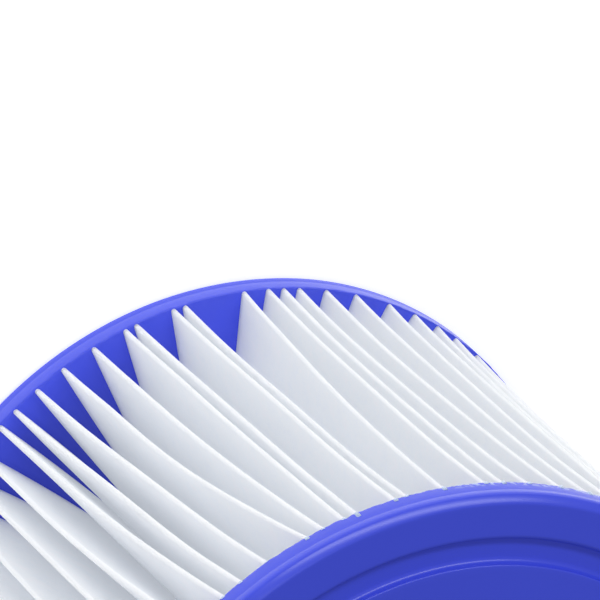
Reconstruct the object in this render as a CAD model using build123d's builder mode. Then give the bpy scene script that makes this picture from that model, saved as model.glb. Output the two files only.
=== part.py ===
"""Pleated filter cartridge for a pool or spa pump: two cast end caps, a pleated media strip and a core tube.

The origin is the centre of the lower end face, +Z runs along the cartridge's axis, and lengths are in millimetres.
"""

import os
from math import cos, radians, sin

from build123d import *

# Driving dimensions
height = 80.0  # over both end faces
cap_radius = 53.0
cap_depth = 4.8  # each end cap, from its end face to the face that the pleats leave
embed_depth = 2.8  # how far the pleats and the core stand in each cap
hole_radius = 22.5  # of the water passage through each cap

# End cap face, from the rim inwards
rim_round = 1.4
channel_outer_radius = 46.6
channel_inner_radius = 43.0
channel_depth = 1.2
platform_drop = 0.1  # how much lower the middle of the face lies than the rim's land
land_round = 0.75
channel_outer_round = 0.35
channel_inner_round = 0.8
platform_round = 0.25
hole_round = 0.8

# Core tube
core_outer_radius = 26.4
core_inner_radius = 24.4
windows_round = 12
window_rows = 6
window_width = 8.2
window_height = 8.0

# Pleated media
strip_thickness = 0.5
fold_width = 0.7  # between the middles of the two layers at a fold
tip_radius = 52.3  # to the middle of the strip
root_radius = 27.6
seam_angle = 97.1  # of the pleat where the strip's two ends meet, at the lower cap
upper_turn = -7.9  # how far that pleat leans round by the upper cap
root_turn = -4.5  # the same for the folds along the core
# The gaps between neighbouring pleat tips over a quarter turn, in degrees, at each cap.
lower_gaps = [3.4, 4.6, 5.2, 5.7, 5.7, 1.9, 6.4, 1.9, 10.0, 4.1, 2.6, 2.7, 4.7, 5.4, 6.3, 5.1, 4.9, 4.2, 5.2]
upper_gaps = [3.2, 4.6, 6.7, 2.7, 3.3, 2.0, 6.1, 1.8, 5.7, 6.6, 2.8, 4.2, 5.3, 4.9, 5.6, 6.0, 6.2, 6.1, 6.2]
quarter_shifts = [12, 0, 0, 8]  # where each quarter turn starts in those lists
bead_share = 0.25  # how much of the pleat's depth is glued at the seam, from the tip inwards

os.makedirs("parts", exist_ok=True)


def tip_angles(first, gaps):
    """The angle of every pleat tip, going round clockwise from the seam, and the seam again at the end."""
    quarter = sum(gaps)
    angles = [first]
    for shift in quarter_shifts:
        for gap in gaps[shift:] + gaps[:shift]:
            angles.append(angles[-1] - gap * 90 / quarter)
    return angles


def polar(radius, angle, across):
    """A point at that radius and angle, moved clockwise by across."""
    a = radians(angle)
    return Vector(radius * cos(a) + across * sin(a), radius * sin(a) - across * cos(a))


def strip_line(first, gaps, root_first):
    """The middle line of the folded strip, from one end at the seam to the other."""
    tips = tip_angles(first, gaps)
    count = len(tips) - 1
    half = fold_width / 2
    points = [polar(tip_radius, tips[0], half)]
    for i in range(count):
        root = root_first - (i + 0.5) * 360 / count
        points += [polar(root_radius, root, -half), polar(root_radius, root, half)]
        points.append(polar(tip_radius, tips[i + 1], -half))
        if i < count - 1:
            points.append(polar(tip_radius, tips[i + 1], half))
    return points


def offset_line(points, distance):
    """The line moved sideways by distance, to its left, with its corners mitred."""
    moved = []
    for i, point in enumerate(points):
        before = (point - points[i - 1]).normalized() if i else None
        after = (points[i + 1] - point).normalized() if i < len(points) - 1 else None
        one = before or after
        other = after or before
        left = Vector(-one.Y, one.X) + Vector(-other.Y, other.X)
        left = left.normalized()
        moved.append(point + left * (distance / left.dot(Vector(-one.Y, one.X))))
    return moved


def strip_sides(line):
    """The strip's two faces in section, as two rows of points."""
    return offset_line(line, strip_thickness / 2), offset_line(line, -strip_thickness / 2)


def along(start, end, share):
    """The point that share of the way from start to end."""
    return start + (end - start) * share


lower_line = strip_line(seam_angle, lower_gaps, seam_angle)
upper_line = strip_line(seam_angle + upper_turn, upper_gaps, seam_angle + root_turn)
lower_left, lower_right = strip_sides(lower_line)
upper_left, upper_right = strip_sides(upper_line)
lower_outline = lower_left + lower_right[::-1]
upper_outline = upper_left + upper_right[::-1]
lower_embed = cap_depth - embed_depth
upper_embed = height - lower_embed
pleat_start = cap_depth
pleat_end = height - cap_depth

# The strip stands straight in each cap, and leans from one cap's spacing to the other's between them.
with BuildPart() as pleated_media:
    for level, outline in (
        (lower_embed, lower_outline),
        (pleat_start, lower_outline),
        (pleat_end, upper_outline),
        (upper_embed, upper_outline),
    ):
        with BuildSketch(Plane.XY.offset(level)):
            with BuildLine():
                Polyline(outline, close=True)
            make_face()
    loft(ruled=True)


def bead_outline(left, right):
    """The adhesive between the strip's two ends: a thin wedge that shares their facing sides."""
    near_end, far_end = right[0], right[-1]
    return [near_end, along(near_end, right[1], bead_share), along(far_end, right[-2], bead_share), far_end]


with BuildPart() as seam_bead:
    for level, left, right in (
        (pleat_start, lower_left, lower_right),
        (pleat_end, upper_left, upper_right),
    ):
        with BuildSketch(Plane.XY.offset(level)):
            with BuildLine():
                Polyline(bead_outline(left, right), close=True)
            make_face()
    loft(ruled=True)

core_bottom = lower_embed
core_length = height - 2 * core_bottom
row_pitch = (pleat_end - pleat_start) / window_rows

with BuildPart() as core_tube:
    with BuildSketch(Plane.XY.offset(core_bottom)):
        Circle(core_outer_radius)
        Circle(core_inner_radius, mode=Mode.SUBTRACT)
    extrude(amount=core_length)
    # One cut goes through both walls, so half a turn of cuts makes the full ring of windows.
    for column in range(windows_round // 2):
        plane = Plane.XZ.rotated((0, 0, column * 360 / windows_round))
        with BuildSketch(plane):
            for row in range(window_rows):
                with Locations((0, pleat_start + (row + 0.5) * row_pitch)):
                    RectangleRounded(window_width, window_height, 1.5)
        extrude(amount=core_outer_radius + 1, both=True, mode=Mode.SUBTRACT)

# The lower cap's section, from the hole outwards along the end face and back along the inner face.
hole_edge = (hole_radius, platform_drop)
platform_edge = (channel_inner_radius, platform_drop)
channel_inner = (channel_inner_radius, channel_depth)
channel_outer = (channel_outer_radius, channel_depth)
land_edge = (channel_outer_radius, 0)
rim_edge = (cap_radius, 0)
cap_section = [
    (hole_radius, cap_depth),
    hole_edge,
    platform_edge,
    channel_inner,
    channel_outer,
    land_edge,
    rim_edge,
    (cap_radius, cap_depth),
]
cap_rounds = [
    (hole_edge, hole_round),
    (platform_edge, platform_round),
    (channel_inner, channel_inner_round),
    (channel_outer, channel_outer_round),
    (land_edge, land_round),
    (rim_edge, rim_round),
]

with BuildPart() as cap_blank:
    with BuildSketch(Plane.XZ) as section:
        with BuildLine():
            Polyline(cap_section, close=True)
        make_face()
        for corner, radius in cap_rounds:
            fillet(section.vertices().sort_by_distance(Vector(*corner))[0], radius)
    revolve(axis=Axis.Z)
    with BuildSketch(Plane.XY.offset(lower_embed)):
        Circle(core_outer_radius)
        Circle(core_inner_radius, mode=Mode.SUBTRACT)
    extrude(amount=embed_depth, mode=Mode.SUBTRACT)

# Each cap is cast round the pleats, so it has a slot of their exact shape.
with BuildPart() as bottom_end_cap:
    add(cap_blank.part)
    with BuildSketch(Plane.XY.offset(lower_embed)):
        with BuildLine():
            Polyline(lower_outline, close=True)
        make_face()
    extrude(amount=embed_depth, mode=Mode.SUBTRACT)

with BuildPart() as top_end_cap:
    add(cap_blank.part.mirror(Plane.XY.offset(height / 2)))
    with BuildSketch(Plane.XY.offset(pleat_end)):
        with BuildLine():
            Polyline(upper_outline, close=True)
        make_face()
    extrude(amount=embed_depth, mode=Mode.SUBTRACT)

for name, piece in (
    ("pleated_media", pleated_media),
    ("seam_bead", seam_bead),
    ("core_tube", core_tube),
    ("bottom_end_cap", bottom_end_cap),
    ("top_end_cap", top_end_cap),
):
    piece.part.label = name
    export_step(piece.part, f"parts/{name}.step")
    print(name, "volume", round(piece.part.volume), "solids", len(piece.part.solids()))
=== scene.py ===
from math import cos, pi, radians, sin

import bpy
import numpy as np
from mathutils import Matrix, Vector


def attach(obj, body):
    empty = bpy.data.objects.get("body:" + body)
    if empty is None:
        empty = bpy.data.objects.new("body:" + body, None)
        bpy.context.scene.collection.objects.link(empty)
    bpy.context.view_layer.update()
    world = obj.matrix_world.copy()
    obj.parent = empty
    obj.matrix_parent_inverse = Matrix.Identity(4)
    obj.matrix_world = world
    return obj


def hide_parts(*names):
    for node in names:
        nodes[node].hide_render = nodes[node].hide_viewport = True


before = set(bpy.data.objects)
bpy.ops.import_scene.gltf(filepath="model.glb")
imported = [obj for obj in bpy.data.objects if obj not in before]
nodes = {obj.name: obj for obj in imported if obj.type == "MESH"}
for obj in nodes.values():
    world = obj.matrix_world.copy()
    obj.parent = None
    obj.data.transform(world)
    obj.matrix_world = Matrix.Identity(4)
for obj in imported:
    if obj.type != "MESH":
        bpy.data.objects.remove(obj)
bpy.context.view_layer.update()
MM = 0.001

# Sizes as in the cartridge's CAD, in millimetres and degrees.
HEIGHT = 80.0
CAP_DEPTH = 4.8
EMBED = 2.8
HOLE_RADIUS = 22.5
TIP_RADIUS = 52.3
ROOT_RADIUS = 27.6
SEAM_HALF = 0.35
SEAM_ANGLE = 97.1
UPPER_TURN = -7.9
ROOT_TURN = -4.5

# The cloth as it is here, finer and less even than in CAD.
FOLD_WIDTH = 0.34
THICKNESS = 0.45
TIP_INSET = 0.5
TIP_FLARE = 0.85
TIP_POKE = 0.28
CAST_INSET = 0.6
TIP_DRIFT = 0.22
CAP_SEGMENTS = 960

# A quarter turn of pleats, in degrees: the gaps between tips at each cap, and each tip's bow between them.
LOWER_GAPS = [3.4, 4.6, 5.2, 5.7, 5.7, 1.9, 6.4, 1.9, 10.0, 4.1]
LOWER_GAPS += [2.6, 2.7, 4.7, 5.4, 6.3, 5.1, 4.9, 4.2, 5.2]
UPPER_GAPS = [3.2, 4.6, 6.7, 2.7, 3.3, 2.0, 6.1, 1.8, 5.7, 6.6]
UPPER_GAPS += [2.8, 4.2, 5.3, 4.9, 5.6, 6.0, 6.2, 6.1, 6.2]
BOWS = [1.1, 0.8, 0.8, 1.8, 0.6, 0, -0.4, 0.2, 0, 0.4]
BOWS += [0, 0, 0.2, 0.2, -0.3, 0.4, 0.6, 0.8, 1.0]
# Where in that quarter turn each of the four starts.
SHIFTS = [12, 0, 0, 8]


def new_mesh(name, points, faces):
    """An object from points in millimetres and faces, riding on the cartridge."""
    mesh = bpy.data.meshes.new(name)
    mesh.from_pydata((np.asarray(points) * MM).tolist(), [], faces)
    mesh.validate()
    mesh.update()
    mesh.polygons.foreach_set("use_smooth", [True] * len(mesh.polygons))
    piece = bpy.data.objects.new(name, mesh)
    bpy.context.scene.collection.objects.link(piece)
    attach(piece, "root")
    return piece


def ring_faces(rows, columns, close_rows, flip=False):
    """Quads over a grid of points, closed round its columns and, if asked, its rows."""
    r = np.arange(rows if close_rows else rows - 1)
    c = np.arange(columns)
    rr, cc = np.meshgrid(r, c, indexing="ij")
    r1 = (rr + 1) % rows
    c1 = (cc + 1) % columns
    quads = np.stack([rr * columns + cc, rr * columns + c1, r1 * columns + c1, r1 * columns + cc], -1)
    quads = quads.reshape(-1, 4)
    return (quads[:, ::-1] if flip else quads).tolist()


# ---------------------------------------------------------------- pleated media


def tip_angles(first, gaps):
    """Every tip's angle in degrees, clockwise from the seam."""
    quarter = sum(gaps)
    angles = [first]
    for shift in SHIFTS:
        for gap in gaps[shift:] + gaps[:shift]:
            angles.append(angles[-1] - gap * 90 / quarter)
    return np.array(angles)


def ease(x):
    """A smooth step from 0 to 1."""
    x = np.clip(x, 0, 1)
    return x * x * (3 - 2 * x)


rng = np.random.default_rng(7)
lower_tips = tip_angles(SEAM_ANGLE, LOWER_GAPS)
upper_tips = tip_angles(SEAM_ANGLE + UPPER_TURN, UPPER_GAPS)
PLEATS = len(lower_tips) - 1
bows = np.array([b for shift in SHIFTS for b in BOWS[shift:] + BOWS[:shift]] + [0.0])
bows[0] = 0
LOW = CAP_DEPTH
HIGH = HEIGHT - CAP_DEPTH
levels = np.concatenate(
    [
        [LOW - EMBED, LOW - 0.9, LOW - 0.3],
        [LOW, LOW + 0.4, LOW + 1.0],
        np.linspace(LOW + 2.0, HIGH - 2.0, 44),
        [HIGH - 1.0, HIGH - 0.4, HIGH],
        HIGH + np.array([0.2, 0.4, 0.6, 0.8, 1.0, 1.25, 1.6]),
        [HIGH + EMBED],
    ]
)
climb = np.clip((levels - LOW) / (HIGH - LOW), 0, 1)
middle = np.sin(pi * climb)  # nothing at the caps, most halfway up

# Each tip wanders a little between the caps, and some stand through the upper cap's wall.
wander = rng.normal(0, 1, (PLEATS + 1, 4))
reach = rng.uniform(0.3, 1.5, PLEATS + 1)
pushes = rng.uniform(-0.25, 0.35, PLEATS + 1)
wander[0] = wander[-1] = 0
pushes[0] = pushes[-1] = 0
side_bow = rng.uniform(0.15, 0.6, (PLEATS, 2))
side_bow[0, 0] = side_bow[-1, 1] = 0

side_steps = np.linspace(0, 1, 12)[1:-1]


def section(level_index):
    """The media's middle line at one level, from the seam round to the seam."""
    t = climb[level_index]
    z = levels[level_index]
    m = middle[level_index]
    tips = lower_tips * (1 - t) + upper_tips * t
    drift = wander[:, 0] * np.sin(pi * t)
    drift = drift + 0.6 * wander[:, 1] * np.sin(2 * pi * t)
    drift = drift + 0.3 * wander[:, 2] * np.sin(3 * pi * t)
    tips = tips + TIP_DRIFT * drift * ease(4 * t) * ease(4 * (1 - t)) + bows * sin(pi * t**1.1)
    roots = SEAM_ANGLE + ROOT_TURN * t - (np.arange(PLEATS) + 0.5) * 360 / PLEATS
    ends = abs(2 * t - 1) ** 3
    radius = TIP_RADIUS - FOLD_WIDTH / 2 - TIP_INSET + TIP_FLARE * ends + pushes * m
    if z > HIGH + 0.1:
        radius = np.where(z - HIGH < reach, radius + TIP_POKE, TIP_RADIUS - CAST_INSET)
    if z < LOW - 0.1:
        radius = radius * 0 + TIP_RADIUS - CAST_INSET
    radius[0] = radius[-1] = TIP_RADIUS - FOLD_WIDTH / 2
    half = FOLD_WIDTH / 2
    points = []

    def polar(r, angle, along, across):
        """A point at r and angle, moved along outwards and across clockwise."""
        a = radians(angle)
        x, y = r * cos(a), r * sin(a)
        return [x + along * cos(a) + across * sin(a), y + along * sin(a) - across * cos(a)]

    def side(start, end, bow):
        start, end = np.array(start), np.array(end)
        run = end - start
        left = np.array([-run[1], run[0]]) / np.hypot(*run)
        for s in side_steps:
            swell = bow * sin(pi * s) * (0.35 + 0.65 * m)
            points.append((start + run * s + left * swell).tolist())

    points.append(polar(radius[0], tips[0], half, SEAM_HALF))
    for i in range(PLEATS):
        start = points[-1]
        inner_a = polar(ROOT_RADIUS + half, roots[i], 0, -half)
        inner_b = polar(ROOT_RADIUS + half, roots[i], 0, half)
        side(start, inner_a, side_bow[i, 0])
        for a in np.linspace(0, pi, 7):
            points.append(polar(ROOT_RADIUS + half, roots[i], -half * sin(a), -half * cos(a)))
        last = i == PLEATS - 1
        tip_a = polar(radius[i + 1], tips[i + 1], half if last else 0, -SEAM_HALF if last else -half)
        side(inner_b, tip_a, side_bow[i, 1])
        if last:
            points.append(tip_a)
        else:
            for a in np.linspace(0, pi, 9):
                points.append(polar(radius[i + 1], tips[i + 1], half * sin(a), -half * cos(a)))
    return np.array(points)


def build_media():
    """The folded strip as one closed mesh, as thick as the cloth."""
    middle_line = np.stack([section(k) for k in range(len(levels))])  # levels, points, 2
    ahead = np.roll(middle_line, -1, 1) - middle_line
    behind = middle_line - np.roll(middle_line, 1, 1)
    ahead[:, -1] = behind[:, -1]
    behind[:, 0] = ahead[:, 0]
    ahead /= np.linalg.norm(ahead, axis=2, keepdims=True)
    behind /= np.linalg.norm(behind, axis=2, keepdims=True)
    run = ahead + behind
    run /= np.linalg.norm(run, axis=2, keepdims=True)
    left = np.stack([-run[..., 1], run[..., 0]], -1)
    z = np.repeat(levels[:, None, None], middle_line.shape[1], 1)
    one = np.concatenate([middle_line + left * THICKNESS / 2, z], 2)
    other = np.concatenate([middle_line - left * THICKNESS / 2, z], 2)
    # Round the strip: out along one face and back along the other, at every level.
    loop = np.concatenate([one, other[:, ::-1]], 1)
    rows, columns = loop.shape[:2]
    faces = ring_faces(rows, columns, False)
    half = columns // 2
    for row, flip in ((0, True), (rows - 1, False)):
        base = row * columns
        for k in range(half - 1):
            quad = [base + k, base + k + 1, base + columns - 2 - k, base + columns - 1 - k]
            faces.append(quad[::-1] if flip else quad)
    return new_mesh("media_cloth", loop.reshape(-1, 3), faces)


media = build_media()
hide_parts("pleated_media")

# ---------------------------------------------------------------- end caps


def arc(centre, radius, start, end, steps):
    """Points on an arc in the cap's section, angles in degrees from straight out, counter-clockwise."""
    return [
        (centre[0] + radius * cos(radians(a)), centre[1] + radius * sin(radians(a)))
        for a in np.linspace(start, end, steps)
    ]


def cap_profile():
    """The upper cap's section, from the hole outwards and back inside, with z from its end face."""
    inside = -CAP_DEPTH
    line = arc((HOLE_RADIUS + 0.8, -0.9), 0.8, 180, 90, 7)
    line += [(r, -0.1) for r in np.linspace(25, 42, 9)]
    line += arc((42.75, -0.35), 0.25, 90, 0, 6)
    line += arc((43.85, -0.35), 0.85, 184, 270, 12)
    line += [(44.3, -1.2), (44.8, -1.2), (45.4, -1.2), (45.9, -1.2)]
    line += arc((46.25, -0.85), 0.35, 270, 340, 5)
    line += arc((47.4, -0.75), 0.75, 170, 90, 9)
    line += [(r, 0.0) for r in np.linspace(47.8, 51.2, 6)]
    # The rim turns down in three arcs, the middle one almost flat.
    turn = (51.6, 0.0)
    for radius, start, end, steps in ((0.80, 90, 57, 6), (4.30, 57, 44, 9), (0.90, 44, 4, 9)):
        centre = (turn[0] - radius * cos(radians(start)), turn[1] - radius * sin(radians(start)))
        bend = arc(centre, radius, start, end, steps)
        line += bend if radius == 0.80 else bend[1:]
        turn = bend[-1]
    # The wall, with the faint groove where the mould parts.
    line += [(53.0, -1.8), (52.975, -2.1), (52.93, -2.25), (52.95, -2.45)]
    line += [(53.0, -2.8), (53.0, -3.6), (53.0, -4.2)]
    line += arc((52.75, inside + 0.25), 0.25, 0, -90, 5)
    line += [(r, inside) for r in np.linspace(52.2, 27.5, 12)]
    line += [(HOLE_RADIUS + 0.4, inside)]
    line += [(HOLE_RADIUS, inside + 0.4), (HOLE_RADIUS, -3.0), (HOLE_RADIUS, -1.8)]
    return np.array(line)


def wave(angles, seed, orders, size):
    """A seeded sum of sines round the cap, about size high."""
    local = np.random.default_rng(seed)
    total = np.zeros_like(angles)
    for k in orders:
        total += local.normal(0, 1) * np.sin(k * angles + local.uniform(0, 2 * pi)) / len(orders) ** 0.5
    return total * size


def build_cap(name, node, upper, seed):
    """A cap turned from its section, slightly uneven, in place of the CAD's."""
    profile = cap_profile()
    angles = np.linspace(0, 2 * pi, CAP_SEGMENTS, endpoint=False)
    r = np.repeat(profile[:, 0][:, None], CAP_SEGMENTS, 1)
    z = np.repeat(profile[:, 1][:, None], CAP_SEGMENTS, 1)
    # The casting isn't quite even: its face dips a little, and its edge is ragged where resin met cloth.
    outer = ease((r - 50) / 3)
    edge = ease((r - 52.3) / 0.6) * ease((-z - 3.9) / 0.8)
    r = r - np.abs(wave(angles, seed, range(3, 9), 0.03)) * outer
    z = z - np.abs(wave(angles, seed + 1, range(2, 7), 0.025)) * ease((z + 2) / 1.5)
    z = z + wave(angles, seed + 2, range(40, 140, 7), 0.07) * edge
    r = r - np.abs(wave(angles, seed + 3, range(60, 200, 9), 0.05)) * edge
    height = HEIGHT + z if upper else -z
    points = np.stack([r * np.cos(angles), r * np.sin(angles), height], -1)
    rows, columns = points.shape[:2]
    cap = new_mesh(name, points.reshape(-1, 3), ring_faces(rows, columns, True, flip=upper))
    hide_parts(node)
    return cap


top_cap = build_cap("top_cap_casting", "top_end_cap", True, 21)
bottom_cap = build_cap("bottom_cap_casting", "bottom_end_cap", False, 35)

# ---------------------------------------------------------------- materials


class Tree:
    """A material's node tree, with short ways to add to it."""

    def __init__(self, name):
        self.material = bpy.data.materials.new(name)
        self.material.use_nodes = True
        self.tree = self.material.node_tree
        self.shader = self.tree.nodes["Principled BSDF"]
        self.coords = self.add("ShaderNodeTexCoord").outputs["Object"]

    def add(self, kind, **settings):
        node = self.tree.nodes.new(kind)
        for key, value in settings.items():
            setattr(node, key, value)
        return node

    def link(self, out, into):
        self.tree.links.new(out, into)

    def noise(self, scale, detail=3.0, rough=0.5, vector=None):
        node = self.add("ShaderNodeTexNoise")
        node.inputs["Scale"].default_value = scale
        node.inputs["Detail"].default_value = detail
        node.inputs["Roughness"].default_value = rough
        self.link(vector or self.coords, node.inputs["Vector"])
        return node.outputs["Fac"]

    def map(self, value, low, high, to_low, to_high):
        node = self.add("ShaderNodeMapRange")
        for key, number in zip(("From Min", "From Max", "To Min", "To Max"), (low, high, to_low, to_high)):
            node.inputs[key].default_value = number
        self.link(value, node.inputs["Value"])
        return node.outputs["Result"]

    def math(self, operation, one, other):
        node = self.add("ShaderNodeMath", operation=operation)
        for socket, value in zip(node.inputs, (one, other)):
            if isinstance(value, (int, float)):
                socket.default_value = value
            else:
                self.link(value, socket)
        return node.outputs[0]

    def mix(self, factor, one, other):
        node = self.add("ShaderNodeMix", data_type="RGBA")
        self.link(factor, node.inputs["Factor"])
        for key, value in (("A", one), ("B", other)):
            socket = [s for s in node.inputs if s.name == key and s.type == "RGBA"][0]
            if isinstance(value, tuple):
                socket.default_value = (*value, 1)
            else:
                self.link(value, socket)
        return [s for s in node.outputs if s.type == "RGBA"][0]

    def bump(self, height, distance, strength=1.0, before=None):
        node = self.add("ShaderNodeBump")
        node.inputs["Distance"].default_value = distance
        node.inputs["Strength"].default_value = strength
        self.link(height, node.inputs["Height"])
        if before:
            self.link(before, node.inputs["Normal"])
        return node.outputs["Normal"]

    def set(self, **values):
        for key, value in values.items():
            self.shader.inputs[key.replace("_", " ")].default_value = value

    def dress(self, *pieces):
        for piece in pieces:
            piece.data.materials.clear()
            piece.data.materials.append(self.material)


def cap_material():
    """Cast blue polyurethane: satin, faintly clouded, with cloth caught in the wall's edge."""
    m = Tree("cast_blue")
    clouds = m.map(m.noise(45, 3), 0.15, 0.85, 0, 1)
    blue = m.mix(clouds, (0.052, 0.080, 0.760), (0.056, 0.086, 0.800))
    xyz = m.add("ShaderNodeSeparateXYZ")
    m.link(m.coords, xyz.inputs[0])
    r2 = m.math("ADD", m.math("POWER", xyz.outputs["X"], 2.0), m.math("POWER", xyz.outputs["Y"], 2.0))
    out = m.map(m.math("SQRT", r2, 0.0), 0.05260, 0.05290, 0, 1)
    edge = HEIGHT - CAP_DEPTH
    near_pleats = m.map(xyz.outputs["Z"], (edge + 0.3) * MM, (edge + 1.4) * MM, 1, 0)
    above = m.map(xyz.outputs["Z"], (edge - 1) * MM, edge * MM, 0, 1)
    near_pleats = m.math("MULTIPLY", near_pleats, above)
    ragged = m.map(m.noise(1100, 2), 0.44, 0.54, 0, 1)
    places = None
    for angle in (-142, -22, 95):
        toward = m.add("ShaderNodeVectorMath", operation="DOT_PRODUCT")
        toward.inputs[1].default_value = (cos(radians(angle)), sin(radians(angle)), 0)
        m.link(m.coords, toward.inputs[0])
        place = m.map(toward.outputs["Value"], 0.0512, 0.0522, 0, 1)
        places = m.math("MAXIMUM", places, place) if places else place
    caught = m.math("MULTIPLY", m.math("MULTIPLY", out, near_pleats), m.math("MULTIPLY", ragged, places))
    m.link(m.mix(caught, blue, (0.42, 0.52, 0.86)), m.shader.inputs["Base Color"])
    m.link(m.map(m.noise(35, 2), 0.1, 0.9, 0.22, 0.28), m.shader.inputs["Roughness"])
    grain = m.bump(m.noise(900, 2), 0.000006, 0.5)
    m.link(grain, m.shader.inputs["Normal"])
    m.set(Specular_IOR_Level=0.45)
    return m


def media_material():
    """White spun-bonded polyester: fine matted fibres, tinted blue where resin wets it.

    Its faint emission stands in for the light that passes through thin cloth.
    """
    m = Tree("spun_polyester")
    fibres = m.noise(2600, 4, 0.65)
    clumps = m.noise(420, 3, 0.6)
    mottled = m.math("ADD", m.math("MULTIPLY", fibres, 0.5), m.math("MULTIPLY", clumps, 0.5))
    cloth = m.mix(m.map(mottled, 0.35, 0.65, 0, 1), (0.850, 0.878, 0.930), (0.905, 0.925, 0.960))
    xyz = m.add("ShaderNodeSeparateXYZ")
    m.link(m.coords, xyz.inputs[0])
    middle_up = m.math("ABSOLUTE", m.math("SUBTRACT", xyz.outputs["Z"], HEIGHT * MM / 2), 0.0)
    half = HEIGHT / 2 - CAP_DEPTH
    wetted = m.map(middle_up, (half - 0.15) * MM, (half + 0.15) * MM, 0, 1)
    m.link(m.mix(wetted, cloth, (0.36, 0.52, 0.90)), m.shader.inputs["Base Color"])
    m.set(Roughness=0.92, Specular_IOR_Level=0.25, Sheen_Weight=0.1, Sheen_Roughness=0.5)
    m.set(Subsurface_Weight=0.8, Subsurface_Radius=(1.0, 1.0, 1.0), Subsurface_Scale=0.006)
    m.set(Emission_Color=(0.93, 0.96, 1.0, 1), Emission_Strength=0.10)
    m.link(m.bump(mottled, 0.0001, 0.7), m.shader.inputs["Normal"])
    return m


def core_material():
    """Moulded white plastic, satin."""
    m = Tree("moulded_white")
    m.link(m.mix(m.noise(90, 2), (0.76, 0.77, 0.78), (0.84, 0.85, 0.86)), m.shader.inputs["Base Color"])
    m.link(m.map(m.noise(300, 2), 0.3, 0.7, 0.36, 0.5), m.shader.inputs["Roughness"])
    m.link(m.bump(m.noise(1200, 2), 0.00001, 0.4), m.shader.inputs["Normal"])
    return m


def glue_material():
    """Off-white hot-melt glue."""
    m = Tree("hot_melt")
    m.link(m.mix(m.noise(200, 2), (0.70, 0.70, 0.66), (0.80, 0.80, 0.77)), m.shader.inputs["Base Color"])
    m.link(m.map(m.noise(400, 2), 0.3, 0.7, 0.25, 0.4), m.shader.inputs["Roughness"])
    m.link(m.bump(m.noise(500, 2), 0.00008, 0.5), m.shader.inputs["Normal"])
    return m


cap_material().dress(top_cap, bottom_cap)
media_material().dress(media)
core_material().dress(nodes["core_tube"])
glue_material().dress(nodes["seam_bead"])

# ---------------------------------------------------------------- floor, lights, camera


def build_floor():
    """A plain pale disc, just under the cartridge and wide enough to fill the picture."""
    mesh = bpy.data.meshes.new("floor")
    radii = (0.3, 1.0, 3.0, 8.0, 14.0)
    steps = 64
    below = -0.1 * MM
    points = [(0, 0, below)]
    faces = []
    for r in radii:
        points += [(r * cos(2 * pi * k / steps), r * sin(2 * pi * k / steps), below) for k in range(steps)]
    for k in range(steps):
        faces.append([0, 1 + k, 1 + (k + 1) % steps])
    for ring in range(len(radii) - 1):
        a = 1 + ring * steps
        b = a + steps
        faces += [[a + k, b + k, b + (k + 1) % steps, a + (k + 1) % steps] for k in range(steps)]
    mesh.from_pydata(points, [], faces)
    floor = bpy.data.objects.new("floor", mesh)
    bpy.context.scene.collection.objects.link(floor)
    m = Tree("pale_floor")
    m.link(m.mix(m.noise(3, 2), (0.93, 0.93, 0.93), (0.95, 0.95, 0.95)), m.shader.inputs["Base Color"])
    m.set(Roughness=0.9, Emission_Color=(1, 1, 1, 1), Emission_Strength=0.5)
    m.dress(floor)


build_floor()


def area_light(name, direction, distance, size, power):
    """A white softbox, size across and high, pointed at the cartridge."""
    data = bpy.data.lights.new(name, "AREA")
    data.shape = "RECTANGLE"
    data.size, data.size_y = size
    data.energy = power
    lamp = bpy.data.objects.new(name, data)
    target = Vector((0, 0, 0.06))
    way = Vector(direction).normalized()
    lamp.location = target + way * distance
    lamp.rotation_euler = way.to_track_quat("Z", "Y").to_euler()
    bpy.context.scene.collection.objects.link(lamp)


area_light("key", (-0.604, -0.507, 0.60), 2.4, (2.4, 0.42), 21)
area_light("front", (1.0, -0.75, 0.40), 3.0, (2.1, 2.1), 7)
area_light("top", (0.1, -0.35, 1.0), 3.4, (2.1, 2.1), 10)

world = bpy.data.worlds.new("studio")
world.use_nodes = True
sky = world.node_tree
sky.nodes["Background"].inputs["Color"].default_value = (1, 1, 1, 1)
sky_coords = sky.nodes.new("ShaderNodeTexCoord")
toward = sky.nodes.new("ShaderNodeVectorMath")
toward.operation = "DOT_PRODUCT"
toward.inputs[1].default_value = (-0.10, -0.85, 0.50)
sky.links.new(sky_coords.outputs["Generated"], toward.inputs[0])
fade = sky.nodes.new("ShaderNodeMapRange")
for key, number in zip(("From Min", "From Max", "To Min", "To Max"), (-0.6, 0.8, 0.18, 0.46)):
    fade.inputs[key].default_value = number
sky.links.new(toward.outputs["Value"], fade.inputs["Value"])
sky.links.new(fade.outputs["Result"], sky.nodes["Background"].inputs["Strength"])
bpy.context.scene.world = world

bpy.context.scene.view_settings.view_transform = "Standard"

camera_data = bpy.data.cameras.new("camera")
camera_data.lens = 300
camera_data.sensor_width = 36
camera_data.clip_start = 0.05
camera_data.clip_end = 60
camera = bpy.data.objects.new("camera", camera_data)
right = Vector((-0.74177, 0.54629, 0.38903)).normalized()
up = Vector((-0.66861, -0.64763, -0.36542)).normalized()
back = right.cross(up).normalized()
up = back.cross(right)
camera.matrix_world = Matrix(
    (
        (right.x, up.x, back.x, 0.0),
        (right.y, up.y, back.y, -0.41676),
        (right.z, up.z, back.z, 0.61345),
        (0, 0, 0, 1),
    )
)
bpy.context.scene.collection.objects.link(camera)
bpy.context.scene.camera = camera
